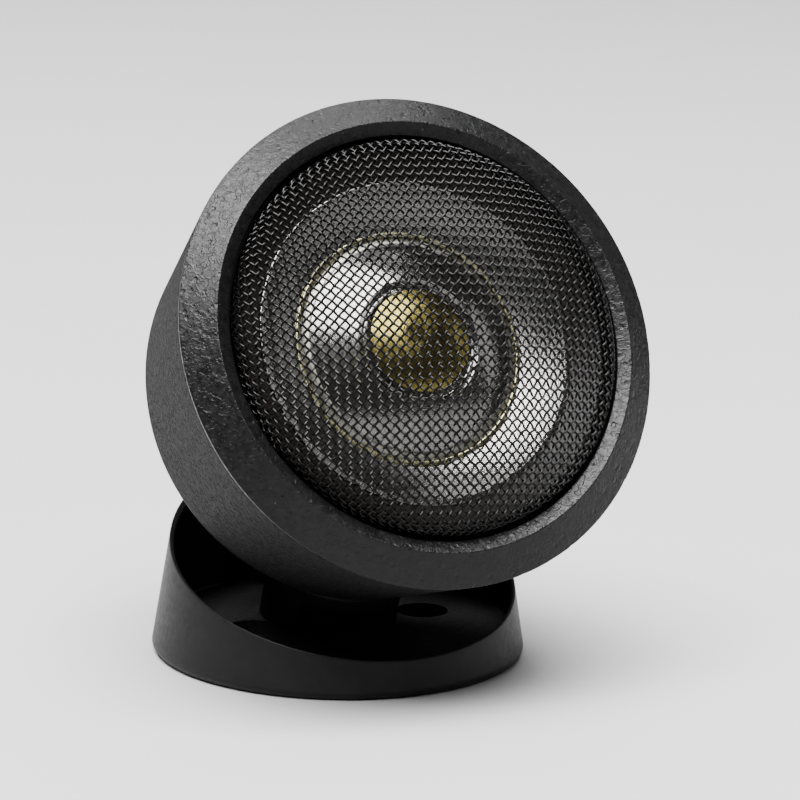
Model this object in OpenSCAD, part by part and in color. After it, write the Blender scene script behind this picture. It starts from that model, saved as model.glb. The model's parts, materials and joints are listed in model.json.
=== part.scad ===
// Surface-mount car tweeter. A round head with a domed woven mesh front sits on a
// wedge-cut round base. The ball-shaped back of the head swivels on a padded seat,
// clamped by a stud, a keyed saddle and disc springs inside the head.
// Origin: centre of the base's flat underside. +Z up, the head faces -Y.

/* [Head] */
// Outer radius of the front ring
ring_r = 28; // [27.8:0.1:28.4]
// Radius of the ball-shaped back of the head
ball_r = 25.6; // [25.4:0.1:25.8]
// Angle of the head's axis above the horizon at rest
aim_deg = 27; // [22:0.5:30]
// Height of the swivel centre above the floor
pivot_z = 34.3; // [34.2:0.1:36]
// How far the swivel centre lies in front of the base's centre
pivot_forward = 8.2; // [7.6:0.1:8.8]
// Height of the mesh dome's top above the swivel centre, along the head's axis
mesh_top_u = 23.6; // [22.8:0.1:24.4]

/* [Base] */
// Radius of the base at the floor
base_r = 21.9; // [21.6:0.1:23]
// Lean of the base's outer wall from upright
base_draft_deg = 8.4; // [7:0.2:9]
// Thickness of the base's outer wall
base_wall = 1.3; // [1.1:0.1:1.6]
// Radius of the screw holes for fastening the base plate to a panel
panel_hole_r = 1.7; // [1.5:0.1:1.9]
// Distance between the two panel screw holes
panel_hole_spacing = 21.6; // [21:0.2:22.4]
// Radius of the cable outlet's bore
outlet_r = 1.5; // [1.2:0.1:1.7]

/* [Swivel] */
// Lean of the clamp stud from upright
stud_lean_deg = 20; // [18:0.5:22]
// Radius of the clamp stud
stud_r = 2; // [1.8:0.1:2]
// Most the head can tilt either way from rest
tilt_limit_deg = 15; // [10:1:15]

/* [Shown] */
// Which piece to draw

/* [Hidden] */

$fn = 96;
eps = 0.01;

// head, heights u are along the head's axis from the swivel centre
wall = 1.6;
ball_in_r = ball_r - wall;
rim_u = 14.1;
ring_seam_u = 13.55;
face_in_r = 24.5;
face_in_u = 16.5;
bore_r = 23.05;
bore_u = 15.85;
ring_low_u = 12.6;
spigot_r = 25.9;
parting_u = -8;
parting_r = sqrt(ball_r * ball_r - parting_u * parting_u);
cone_slope = (ring_r - parting_r) / (rim_u - parting_u);
lap_u = -6.6;
lap_out_r = parting_r - 0.85;
lap_in_r = parting_r - 1.4;
shelf_top_u = 10.2;
shelf_low_u = 9;
shelf_in_r = 22.4;
shelf_out_r = 26.5;

// driver
driver_screw_r = 23.9;
driver_screw_angles = [90, 210, 330];
frame_top_u = 12.2;
frame_low_u = 10.6;
frame_r = 25.6;
frame_in_r = 11;
well_r = 18.55;
well_u = 9.8;
baffle_in_u = 13.2;
baffle_out_r = 21.9;
baffle_out_u = 15;
flare_in_r = 13.42;
flare_in_u = 10.8;
flare_out_r = 17.9;
flare_out_u = 13.4;
flare_bend_deg = 20;
motor_top_u = 8.4;
clamp_ring_r = 12.87;
clamp_ring_top_u = 11;
skin = 0.15;
// the ring-shaped dome is a zone of this ball
annular_ball_r = 22.25;
annular_ball_u = -7.51;
annular_in_r = 7.17;
annular_out_r = 11.88;
groove_u = 13.1;
centre_edge_r = 5.82;
centre_edge_u = 13.95;
centre_rise = 1.35;
coil_former_r = 6.2;
yoke_r = 11.4;
yoke_in_r = 7;
yoke_low_u = 1.6;
yoke_floor_u = 3.6;
pole_r = 5.75;

// mesh grille
mesh_t = 0.4;
mesh_r = 22.5;
mesh_roll = 3;
mesh_roll_u = 15.9;
mesh_roll_r = mesh_r - mesh_roll;
mesh_rise = mesh_top_u - mesh_roll_u;
// ball radius that meets the rolled edge smoothly
mesh_cap_r = (mesh_rise * mesh_rise + mesh_roll_r * mesh_roll_r - mesh_roll * mesh_roll)
           / (2 * (mesh_rise - mesh_roll));
mesh_cap_u = mesh_top_u - mesh_cap_r;
mesh_meet_deg = asin(mesh_roll_r / (mesh_cap_r - mesh_roll));

// base
plate_t = 1.2;
plate_r = 19.6;
floor_top_z = 3.5;
foot_round = 1.2;
cut_r = 31;
cut_y = -pivot_forward - 0.7;
cut_z = pivot_z - 1.3;
plate_screw_ring_r = 15;
plate_screw_angles = [90, 210, 330];
plate_screw_length = 2.75;
driver_way_r = 3.1;
outlet_z = 7.6;
outlet_face_y = 21.3;
outlet_in_y = 17.4;

// swivel, distances t are from the swivel centre along the stud
pad_gap = 0.2;
pad_t = 1.2;
pad_r = 7.8;
pedestal_r = 8;
pedestal_top_t = ball_r + pad_gap + pad_t;
saddle_r = 6.5;
saddle_gap = 0.2;
saddle_flat_t = 20;
key_half_w = 3;
key_half_l = 3.2;
key_tip_t = ball_r - 0.3;
slot_half_w = 3.2;
slot_half_deg = tilt_limit_deg + 8.3;
washer_t = 0.8;
stud_end_t = 13.8;
stud_head_t = 30.6;
stud_head_h = 1.8;
stud_head_r = 3.46;
nut_r = 3.9;
nut_h = 2.8;

// ---------- placing ----------
module at_pivot() {
  translate([0, -pivot_forward, pivot_z]) children();
}

module head() {
  at_pivot() rotate([90 - aim_deg, 0, 0]) children();
}

// local +Z points from the swivel centre down the stud
module stud_axis() {
  at_pivot() rotate([180 + stud_lean_deg, 0, 0]) children();
}

module ring_section(points) {
  rotate_extrude() polygon(points);
}

module tube(r_out, r_in, z0, z1) {
  difference() {
    translate([0, 0, z0]) cylinder(r = r_out, h = z1 - z0);
    translate([0, 0, z0 - 1]) cylinder(r = r_in, h = z1 - z0 + 2);
  }
}

// ---------- base ----------
module base_cone(inset) {
  h = 30;
  r = base_r - inset;
  rotate_extrude()
    polygon([[0, 0], [r, 0], [r - h * tan(base_draft_deg), h], [0, h]]);
}

module foot_rounding() {
  r = foot_round;
  rotate_extrude()
    difference() {
      translate([base_r - r, -1]) square([r + 1, r + 1]);
      translate([base_r - r * 1.09, r]) circle(r = r);
    }
}

module cut_ball() {
  translate([0, cut_y, cut_z]) sphere(r = cut_r, $fn = 120);
}

module base_hollow() {
  intersection() {
    base_cone(base_wall);
    translate([-40, -40, floor_top_z]) cube([80, 80, 40]);
  }
}

module pedestal() {
  difference() {
    stud_axis() translate([0, 0, 20]) cylinder(r = pedestal_r, h = 20);
    at_pivot() sphere(r = pedestal_top_t);
    translate([-20, -20, -20]) cube([40, 40, 22.2]);
  }
}

module outlet_boss() {
  translate([0, outlet_in_y, outlet_z]) rotate([-90, 0, 0])
    cylinder(r = 4.2, h = outlet_face_y - outlet_in_y);
}

module base_shell() {
  color([0.06, 0.06, 0.065])
  difference() {
    union() {
      difference() {
        base_cone(0);
        base_hollow();
        cut_ball();
      }
      pedestal();
      outlet_boss();
    }
    foot_rounding();
    translate([0, 0, -1]) cylinder(r = plate_r + 0.1, h = plate_t + 1);
    // clamp stud: shank hole and hex pocket for its head
    stud_axis() cylinder(r = stud_r + 0.1, h = 60);
    stud_axis() translate([0, 0, stud_head_t]) cylinder(r = stud_head_r + 0.14, h = 20, $fn = 6);
    for (a = plate_screw_angles)
      rotate([0, 0, a]) translate([plate_screw_ring_r, 0, -1]) cylinder(r = 0.85, h = 3.85);
    // the panel screws are driven through these from inside the dish
    for (s = [-1, 1])
      translate([s * panel_hole_spacing / 2, 0, -1])
        cylinder(r = driver_way_r, h = floor_top_z + 1 + eps);
    translate([0, 10, outlet_z]) rotate([-90, 0, 0]) cylinder(r = 2.5, h = 20);
  }
}

module base_plate() {
  color([0.42, 0.43, 0.45])
  difference() {
    cylinder(r = plate_r, h = plate_t);
    for (s = [-1, 1])
      translate([s * panel_hole_spacing / 2, 0, -1]) cylinder(r = panel_hole_r, h = 4);
    for (a = plate_screw_angles)
      rotate([0, 0, a]) translate([plate_screw_ring_r, 0, 0]) {
        translate([0, 0, -1]) cylinder(r = 1.1, h = 4);
        translate([0, 0, -eps]) cylinder(r1 = 2, r2 = 1.05, h = 0.9);
      }
  }
}

module plate_screws() {
  color([0.6, 0.6, 0.62])
  for (a = plate_screw_angles)
    rotate([0, 0, a]) translate([plate_screw_ring_r, 0, 0])
      countersunk_screw(1.9, 0.85, 0.85, plate_screw_length);
}

// countersunk screw with its head's face at z = 0 and a slot cut in it
module countersunk_screw(head_r, head_h, shank_r, length) {
  difference() {
    union() {
      translate([0, 0, 0.05]) cylinder(r1 = head_r, r2 = shank_r, h = head_h);
      translate([0, 0, 0.1]) cylinder(r = shank_r, h = length - 0.1);
    }
    translate([-3, -0.2, -1]) cube([6, 0.4, 1.45]);
    translate([-0.2, -3, -1]) cube([0.4, 6, 1.45]);
  }
}

module lead_grommet() {
  color([0.09, 0.09, 0.09])
  translate([0, 0, outlet_z]) rotate([-90, 0, 0])
    difference() {
      union() {
        translate([0, 0, outlet_in_y - 0.8]) cylinder(r = 3.2, h = 0.8);
        translate([0, 0, outlet_in_y - eps])
          cylinder(r = 2.5, h = outlet_face_y - outlet_in_y + 2 * eps);
        translate([0, 0, outlet_face_y]) cylinder(r = 3.6, h = 0.8);
      }
      translate([0, 0, outlet_in_y - 2]) cylinder(r = outlet_r, h = 10);
    }
}

// ---------- swivel clamp ----------
module seat_pad() {
  color([0.13, 0.13, 0.13])
  difference() {
    intersection() {
      stud_axis() translate([0, 0, 20]) cylinder(r = pad_r, h = 10);
      at_pivot() sphere(r = pedestal_top_t);
    }
    at_pivot() sphere(r = ball_r + pad_gap);
    stud_axis() cylinder(r = stud_r + 0.4, h = 60);
  }
}

module clamp_stud() {
  color([0.62, 0.62, 0.6])
  stud_axis() {
    translate([0, 0, stud_end_t]) cylinder(r1 = stud_r - 0.4, r2 = stud_r, h = 0.5);
    translate([0, 0, stud_end_t + 0.5]) cylinder(r = stud_r, h = stud_head_t - stud_end_t);
    translate([0, 0, stud_head_t]) cylinder(r = stud_head_r, h = stud_head_h, $fn = 6);
  }
}

module clamp_washer() {
  color([0.68, 0.68, 0.68])
  stud_axis() tube(4.8, stud_r + 0.1, saddle_flat_t - 0.05 - washer_t, saddle_flat_t - 0.05);
}

module disc_springs() {
  top = saddle_flat_t - 0.05 - washer_t;
  color([0.5, 0.5, 0.52])
  stud_axis()
    for (k = [0, 1])
      translate([0, 0, top - 0.85 * (k + 1)]) disc_spring(k == 0);
}

module disc_spring(wide_side_up) {
  lift = 0.35;
  thick = 0.5;
  r_in = stud_r + 0.15;
  r_out = 4.4;
  out_z = wide_side_up ? lift : 0;
  in_z = wide_side_up ? 0 : lift;
  ring_section([[r_in, in_z], [r_out, out_z], [r_out, out_z + thick], [r_in, in_z + thick]]);
}

module clamp_nut() {
  low = saddle_flat_t - 0.05 - washer_t - 1.7 - nut_h;
  color([0.7, 0.7, 0.68])
  stud_axis()
    difference() {
      translate([0, 0, low]) cylinder(r = nut_r, h = nut_h, $fn = 6);
      translate([0, 0, low - 1]) cylinder(r = stud_r, h = nut_h + 2);
    }
}

module saddle() {
  color([0.75, 0.74, 0.7])
  difference() {
    union() {
      intersection() {
        stud_axis() translate([0, 0, saddle_flat_t]) cylinder(r = saddle_r, h = 8);
        at_pivot() sphere(r = ball_in_r - saddle_gap);
      }
      stud_axis()
        translate([-key_half_w, -key_half_l, saddle_flat_t + 1])
          cube([2 * key_half_w, 2 * key_half_l, key_tip_t - saddle_flat_t - 1]);
    }
    stud_axis() cylinder(r = stud_r + 0.06, h = 60);
  }
}

// ---------- housing ----------
// cone from the parting line towards the front
module collar_cone(inset) {
  r = parting_r - inset;
  len = 30 - parting_u;
  translate([0, 0, parting_u]) cylinder(r1 = r, r2 = r + cone_slope * len, h = len);
}

module below_u(u) {
  translate([0, 0, u - 80]) cylinder(r = 60, h = 80);
}

module housing_collar() {
  color([0.11, 0.11, 0.12])
  head()
    difference() {
      union() {
        difference() {
          collar_cone(0);
          translate([0, 0, -eps]) collar_cone(wall + 0.05);
        }
        // shelf and screw bosses for the driver
        tube(shelf_out_r, shelf_in_r, shelf_low_u, shelf_top_u);
        for (a = driver_screw_angles)
          rotate([0, 0, a]) translate([driver_screw_r, 0, 5])
            cylinder(r = 2.2, h = shelf_top_u - 5);
      }
      translate([0, 0, ring_seam_u]) cylinder(r = 60, h = 60);
      // step that takes the back shell's lip
      translate([0, 0, parting_u - 1]) cylinder(r = lap_out_r + 0.05, h = lap_u - parting_u + 1);
      for (a = driver_screw_angles)
        rotate([0, 0, a]) translate([driver_screw_r, 0, 6.2]) cylinder(r = 0.82, h = 20);
    }
}

module housing_bowl() {
  color([0.11, 0.11, 0.12])
  difference() {
    head()
      union() {
        difference() {
          intersection() {
            sphere(r = ball_r, $fn = 120);
            below_u(parting_u - 0.05);
          }
          sphere(r = ball_in_r, $fn = 120);
        }
        tube(lap_out_r, lap_in_r, parting_u - 0.3, lap_u - 0.05);
      }
    tilt_slot();
    lead_hole();
  }
}

// slot in the plane the head tilts in, so the stud and key can pass
module tilt_slot() {
  far = 40;
  reach = far * tan(slot_half_deg);
  stud_axis()
    rotate([0, -90, 0])
      translate([0, 0, -slot_half_w])
        linear_extrude(height = 2 * slot_half_w)
          polygon([[0, 0], [far, -reach], [far, reach]]);
}

module lead_hole() {
  head() rotate([180, 0, 0]) cylinder(r = 2, h = 60);
}

module front_ring() {
  color([0.14, 0.14, 0.15])
  head()
    ring_section([[ring_r, rim_u], [face_in_r, face_in_u], [bore_r, bore_u],
                  [bore_r, ring_low_u], [spigot_r, ring_low_u], [spigot_r, ring_seam_u],
                  [ring_r - 0.08, ring_seam_u]]);
}

module grille_trim_ring() {
  color([0.07, 0.07, 0.075])
  head()
    ring_section([[mesh_r + 0.05, ring_low_u], [bore_r - 0.02, ring_low_u],
                  [bore_r - 0.02, bore_u - 0.1], [bore_r - 0.25, bore_u + 0.05],
                  [mesh_r + 0.05, bore_u - 0.15]]);
}

// outline of the mesh, from its top down to the wall, moved inwards by inset
function mesh_outline(inset) = concat(
  [for (k = [0:10]) let (a = mesh_meet_deg * k / 10)
    [(mesh_cap_r - inset) * sin(a), mesh_cap_u + (mesh_cap_r - inset) * cos(a)]],
  [for (k = [1:6]) let (a = mesh_meet_deg + (90 - mesh_meet_deg) * k / 6)
    [mesh_roll_r + (mesh_roll - inset) * sin(a), mesh_roll_u + (mesh_roll - inset) * cos(a)]]);

function reversed(points) = [for (k = [len(points) - 1:-1:0]) points[k]];

module mesh_grille() {
  color([0.2, 0.2, 0.21])
  head()
    ring_section(concat(
      mesh_outline(0),
      [[mesh_r, ring_low_u], [bore_r - 0.1, ring_low_u], [bore_r - 0.1, frame_top_u],
       [mesh_r - mesh_t, frame_top_u]],
      reversed(mesh_outline(mesh_t))));
}

// ---------- driver ----------
module driver_frame() {
  color([0.09, 0.085, 0.08])
  head()
    difference() {
      ring_section([[well_r, baffle_in_u], [baffle_out_r, baffle_out_u], [baffle_out_r, frame_top_u],
                    [frame_r, frame_top_u], [frame_r, frame_low_u], [22.1, frame_low_u],
                    [20.2, motor_top_u], [frame_in_r, motor_top_u], [frame_in_r, well_u],
                    [well_r, well_u]]);
      for (a = driver_screw_angles)
        rotate([0, 0, a]) translate([driver_screw_r, 0, 0]) {
          cylinder(r = 1, h = 20);
          translate([0, 0, frame_top_u - 0.8]) cylinder(r1 = 0.95, r2 = 1.65, h = 0.8 + eps);
        }
    }
}

module driver_gasket() {
  color([0.05, 0.05, 0.05])
  head()
    difference() {
      tube(25.4, 22.5, shelf_top_u, frame_low_u);
      for (a = driver_screw_angles)
        rotate([0, 0, a]) translate([driver_screw_r, 0, 5]) cylinder(r = 1, h = 20);
    }
}

module driver_screws() {
  color([0.25, 0.25, 0.26])
  head()
    for (a = driver_screw_angles)
      rotate([0, 0, a]) translate([driver_screw_r, 0, frame_top_u]) rotate([180, 0, 0])
        countersunk_screw(1.5, 0.7, 0.8, 5.6);
}

module waveguide_flare() {
  rise = flare_out_u - flare_in_u;
  run = flare_out_r - flare_in_r;
  arc_r = sqrt(rise * rise + run * run) / (2 * sin(flare_bend_deg / 2));
  start_deg = atan(rise / run) - flare_bend_deg / 2;
  color([0.72, 0.73, 0.75])
  head()
    rotate_extrude()
      difference() {
        polygon([[flare_in_r, well_u], [well_r - 0.05, well_u], [well_r - 0.05, flare_out_u],
                 [flare_in_r, flare_out_u]]);
        intersection() {
          translate([flare_in_r - arc_r * sin(start_deg), flare_in_u + arc_r * cos(start_deg)])
            circle(r = arc_r, $fn = 180);
          square([flare_out_r, 40]);
        }
      }
}

module diaphragm_clamp_ring() {
  color([0.75, 0.66, 0.36])
  head()
    ring_section([[clamp_ring_r, well_u], [flare_in_r - 0.02, well_u],
                  [flare_in_r - 0.02, clamp_ring_top_u], [clamp_ring_r + 0.15, clamp_ring_top_u],
                  [clamp_ring_r, clamp_ring_top_u - 0.15]]);
}

// low roll between the ring-shaped dome and the clamp ring
module outer_surround() {
  top = [[annular_out_r + 0.02, 11.3], [12.15, 11.31], [12.4, 11.21], [12.65, 10.99],
         [clamp_ring_r - 0.02, 10.72]];
  color([0.7, 0.71, 0.72])
  head() ring_section(concat(top, reversed([for (p = top) [p[0], p[1] - skin]])));
}

module annular_dome() {
  color([0.78, 0.79, 0.8])
  head()
    rotate_extrude()
      intersection() {
        translate([0, annular_ball_u])
          difference() {
            circle(r = annular_ball_r, $fn = 180);
            circle(r = annular_ball_r - skin, $fn = 180);
          }
        translate([annular_in_r, well_u]) square([annular_out_r - annular_in_r, 8]);
      }
}

// groove that joins the two domes and carries the voice coil
module dome_joint_ring() {
  color([0.62, 0.62, 0.6])
  head()
    ring_section([[7.15, 13.55], [6.6, groove_u], [6.25, groove_u], [5.85, 14], [5.85, 13.7],
                  [6.16, groove_u - skin], [6.66, groove_u - skin], [7.15, 13.37]]);
}

module centre_dome() {
  curve_r = (centre_edge_r * centre_edge_r + centre_rise * centre_rise) / (2 * centre_rise);
  color([0.78, 0.68, 0.42])
  head()
    intersection() {
      translate([0, 0, centre_edge_u + centre_rise - curve_r])
        difference() {
          sphere(r = curve_r);
          sphere(r = curve_r - skin);
        }
      translate([0, 0, centre_edge_u - 0.15]) cylinder(r = centre_edge_r, h = 4);
    }
}

module voice_coil_former() {
  color([0.7, 0.6, 0.4])
  head() tube(coil_former_r + 0.12, coil_former_r, 6.7, groove_u - skin);
}

module voice_coil() {
  color([0.72, 0.4, 0.2])
  head() tube(coil_former_r + 0.42, coil_former_r + 0.12, 6.8, 8.7);
}

module top_plate() {
  color([0.55, 0.55, 0.56])
  head() translate([0, 0, 7]) cylinder(r = pole_r, h = motor_top_u - 7);
}

module magnet() {
  color([0.6, 0.61, 0.63])
  head() translate([0, 0, yoke_floor_u]) cylinder(r = 5.4, h = 7 - yoke_floor_u);
}

module yoke() {
  color([0.5, 0.5, 0.52])
  head()
    difference() {
      ring_section([[0, yoke_low_u], [yoke_r - 0.8, yoke_low_u], [yoke_r, yoke_low_u + 0.8],
                    [yoke_r, motor_top_u], [0, motor_top_u]]);
      translate([0, 0, yoke_floor_u]) cylinder(r = yoke_in_r, h = 20);
    }
}

module centre_felt() {
  color([0.25, 0.25, 0.25])
  head() translate([0, 0, motor_top_u]) cylinder(r = 4.4, h = 0.7);
}

module felt_ring() {
  color([0.25, 0.25, 0.25])
  head() tube(10.6, 7.4, motor_top_u, motor_top_u + 0.6);
}

module terminal_board() {
  color([0.2, 0.28, 0.16])
  head()
    difference() {
      translate([-7, 0.5, yoke_low_u - 1.2]) cube([14, 8.5, 1.2]);
      for (s = [-1, 1])
        translate([s * 4.2 - 0.45, 3.3, yoke_low_u - 2]) cube([0.9, 3, 3]);
    }
}

module terminal_tabs() {
  color([0.8, 0.68, 0.34])
  head()
    for (s = [-1, 1])
      translate([s * 4.2, 4.8, 0])
        difference() {
          translate([-0.4, -1.4, -5]) cube([0.8, 2.8, yoke_low_u + 5]);
          translate([0, 0, -3.4]) rotate([0, 90, 0]) translate([0, 0, -2]) cylinder(r = 0.6, h = 4);
        }
}

base_shell();
base_plate();
plate_screws();
lead_grommet();
seat_pad();
clamp_stud();
clamp_washer();
disc_springs();
clamp_nut();
saddle();
housing_collar();
housing_bowl();
front_ring();
grille_trim_ring();
mesh_grille();
driver_frame();
driver_gasket();
driver_screws();
waveguide_flare();
diaphragm_clamp_ring();
outer_surround();
annular_dome();
dome_joint_ring();
centre_dome();
voice_coil_former();
voice_coil();
top_plate();
magnet();
yoke();
centre_felt();
felt_ring();
terminal_board();
terminal_tabs();
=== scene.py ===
import json
import math

import bmesh
import bpy
import numpy as np
from mathutils import Matrix, Vector, noise


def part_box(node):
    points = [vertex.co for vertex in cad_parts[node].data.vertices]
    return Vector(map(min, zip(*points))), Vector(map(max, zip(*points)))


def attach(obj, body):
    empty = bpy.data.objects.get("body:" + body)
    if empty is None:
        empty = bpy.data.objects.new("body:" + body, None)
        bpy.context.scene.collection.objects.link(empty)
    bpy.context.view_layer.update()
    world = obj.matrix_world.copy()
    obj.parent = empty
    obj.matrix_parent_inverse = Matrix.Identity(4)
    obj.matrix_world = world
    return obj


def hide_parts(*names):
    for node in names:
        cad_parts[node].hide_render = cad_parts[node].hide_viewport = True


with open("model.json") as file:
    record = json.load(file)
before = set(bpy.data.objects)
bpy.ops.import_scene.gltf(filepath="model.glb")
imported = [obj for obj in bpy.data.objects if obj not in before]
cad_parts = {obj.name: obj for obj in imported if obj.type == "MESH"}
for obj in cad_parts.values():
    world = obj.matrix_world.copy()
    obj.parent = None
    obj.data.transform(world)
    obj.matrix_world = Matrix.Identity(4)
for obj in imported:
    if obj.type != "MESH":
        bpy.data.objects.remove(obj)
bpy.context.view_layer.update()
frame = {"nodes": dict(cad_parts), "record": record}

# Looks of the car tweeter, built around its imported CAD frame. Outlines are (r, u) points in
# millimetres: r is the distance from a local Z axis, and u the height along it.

MM = 0.001
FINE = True
SHARP_DEG = 32  # edges that bend more than this are shaded sharp

# ---------------------------------------------------------------- frame
joints = {j["name"]: j for j in frame["record"]["behaviour"]["joints"]}
pivot = Vector(joints["head_tilt"]["pos_m"])
head_axis = Vector(joints["diaphragm_travel"]["axis"]).normalized()
seat_axis = Vector(joints["head_pan"]["axis"]).normalized()


def axes(origin, z_axis):
    """Matrix of a local frame whose +Z is z_axis and whose +X is the row's +X."""
    x_axis = Vector((1, 0, 0))
    y_axis = z_axis.cross(x_axis)
    turn = Matrix((x_axis, y_axis, z_axis)).transposed().to_4x4()
    return Matrix.Translation(origin) @ turn


HEAD = axes(pivot, head_axis)
STUD = axes(pivot, -seat_axis)
BASE = Matrix.Identity(4)


def reach(node, local=HEAD):
    """Inner and outer radius and lowest and highest u of a CAD node, in mm, in a local frame."""
    inverse = local.inverted()
    points = [inverse @ v.co for v in frame["nodes"][node].data.vertices]
    radii = [math.hypot(p.x, p.y) / MM for p in points]
    heights = [p.z / MM for p in points]
    return min(radii), max(radii), min(heights), max(heights)


def far_from_pivot(node):
    """Greatest distance of a CAD node's surface from the pivot, in mm."""
    return max((v.co - pivot).length for v in frame["nodes"][node].data.vertices) / MM


# ---------------------------------------------------------------- camera
CAMERA_AZIMUTH = -24.97
CAMERA_ELEVATION = 12.32
CAMERA_ROLL = 1.29
CAMERA_DISTANCE = 415.2
CAMERA_FOCAL = 162.0
TARGET_RIGHT = 6.65
TARGET_UP = 29.82


def toward(azimuth, elevation):
    """Unit vector from the object to a place at that azimuth and elevation."""
    a = math.radians(azimuth)
    e = math.radians(elevation)
    return Vector((math.sin(a) * math.cos(e), -math.cos(a) * math.cos(e), math.sin(e)))


def make_camera():
    back = toward(CAMERA_AZIMUTH, CAMERA_ELEVATION)
    right = Vector((0, 0, 1)).cross(back).normalized()
    up = back.cross(right)
    roll = math.radians(CAMERA_ROLL)
    image_right = right * math.cos(roll) + up * math.sin(roll)
    image_up = up * math.cos(roll) - right * math.sin(roll)
    target = right * TARGET_RIGHT + Vector((0, 0, TARGET_UP))
    data = bpy.data.cameras.new("camera")
    data.lens = CAMERA_FOCAL
    data.sensor_width = 36
    data.clip_start = 0.01
    data.clip_end = 20
    camera = bpy.data.objects.new("camera", data)
    turn = Matrix((image_right, image_up, back)).transposed().to_4x4()
    camera.matrix_world = Matrix.Translation((target + back * CAMERA_DISTANCE) * MM) @ turn
    bpy.context.scene.collection.objects.link(camera)
    bpy.context.scene.camera = camera


make_camera()

# ---------------------------------------------------------------- mesh tools


def rounded(points, steps=5):
    """Closed outline with its corners rounded: each point is (r, u) or (r, u, radius)."""
    out = []
    count = len(points)
    for k, point in enumerate(points):
        here = Vector(point[:2])
        size = point[2] if len(point) > 2 else 0
        if size <= 0:
            out.append(tuple(here))
            continue
        before = Vector(points[k - 1][:2]) - here
        after = Vector(points[(k + 1) % count][:2]) - here
        half = before.angle(after) / 2
        cut = min(size / math.tan(half), before.length * 0.49, after.length * 0.49)
        start = here + before.normalized() * cut
        end = here + after.normalized() * cut
        for s in range(steps + 1):
            t = s / steps
            out.append(tuple(start * (1 - t) ** 2 + here * 2 * t * (1 - t) + end * t * t))
    return out


def arc(centre, radius, start_deg, end_deg, steps):
    """Points on an arc; angles are from +r towards +u."""
    turns = [math.radians(start_deg + (end_deg - start_deg) * k / steps) for k in range(steps + 1)]
    return [(centre[0] + radius * math.cos(a), centre[1] + radius * math.sin(a)) for a in turns]


def rod(radius, low_u, high_u):
    """Outline of a plain round rod."""
    return [(0, low_u), (radius, low_u), (radius, high_u), (0, high_u)]


def subdivided(points, longest):
    """The closed outline with extra points, so that no side is longer than that."""
    out = []
    for k, point in enumerate(points):
        here = Vector(point[:2])
        there = Vector(points[(k + 1) % len(points)][:2])
        pieces = max(1, math.ceil((there - here).length / longest))
        out += [tuple(here.lerp(there, s / pieces)) for s in range(pieces)]
    return out


def shade_by_angle(bm):
    """Smooth faces, with sharp edges where the surface bends strongly."""
    for face in bm.faces:
        face.smooth = True
    for edge in bm.edges:
        edge.smooth = edge.calc_face_angle(0) < math.radians(SHARP_DEG)


def finish_mesh(name, mesh, place):
    """Merges doubles, points the normals out, shades by angle and returns the placed object."""
    bm = bmesh.new()
    bm.from_mesh(mesh)
    bmesh.ops.remove_doubles(bm, verts=bm.verts, dist=1e-7)
    bmesh.ops.dissolve_degenerate(bm, edges=bm.edges, dist=1e-8)
    bmesh.ops.recalc_face_normals(bm, faces=bm.faces)
    shade_by_angle(bm)
    bm.to_mesh(mesh)
    bm.free()
    obj = bpy.data.objects.new(name, mesh)
    obj.matrix_world = place
    bpy.context.scene.collection.objects.link(obj)
    return obj


def turned(name, section_at, place, turns):
    """Joins closed (r, u) sections, one for each angle about the local Z axis, into a ring."""
    points = []
    for k in range(turns):
        a = 2 * math.pi * k / turns
        section = section_at(a)
        points += [(r * MM * math.cos(a), r * MM * math.sin(a), u * MM) for r, u in section]
    count = len(section)
    faces = []
    for k in range(turns):
        here = k * count
        there = ((k + 1) % turns) * count
        for j in range(count):
            nxt = (j + 1) % count
            faces.append((here + j, there + j, there + nxt, here + nxt))
    mesh = bpy.data.meshes.new(name)
    mesh.from_pydata(points, [], faces)
    return finish_mesh(name, mesh, place)


def revolve(name, outline, place=HEAD, turns=192):
    """Turns one closed (r, u) outline about the local Z axis."""
    return turned(name, lambda angle: outline, place, turns)


def shifted(obj, shift):
    """Moves every vertex along its normal by shift(local place in mm, normal), in mm."""
    mesh = obj.data
    moves = [Vector(v.co) + Vector(v.normal) * shift(v.co / MM, v.normal) * MM for v in mesh.vertices]
    mesh.vertices.foreach_set("co", [c for p in moves for c in p])
    mesh.update()


def boolean(obj, cutter, operation="DIFFERENCE"):
    """Applies a boolean with cutter, then removes the cutter."""
    modifier = obj.modifiers.new("cut", "BOOLEAN")
    modifier.operation = operation
    modifier.solver = "EXACT"
    modifier.object = cutter
    graph = bpy.context.evaluated_depsgraph_get()
    mesh = bpy.data.meshes.new_from_object(obj.evaluated_get(graph))
    obj.modifiers.clear()
    obj.data = mesh
    bpy.data.objects.remove(cutter)


def box_object(name, low, high, place):
    """A box between two corners in mm."""
    bm = bmesh.new()
    bmesh.ops.create_cube(bm, size=1)
    for v in bm.verts:
        v.co = Vector([(low[i] + high[i]) / 2 + v.co[i] * (high[i] - low[i]) for i in range(3)]) * MM
    mesh = bpy.data.meshes.new(name)
    bm.to_mesh(mesh)
    bm.free()
    return finish_mesh(name, mesh, place)


def stand_for(obj, body, node, material):
    """Rides on its body, replaces its CAD node and takes the given material."""
    obj.data.materials.clear()
    obj.data.materials.append(material)
    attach(obj, body)
    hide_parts(node)
    return obj


# ---------------------------------------------------------------- materials


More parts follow.
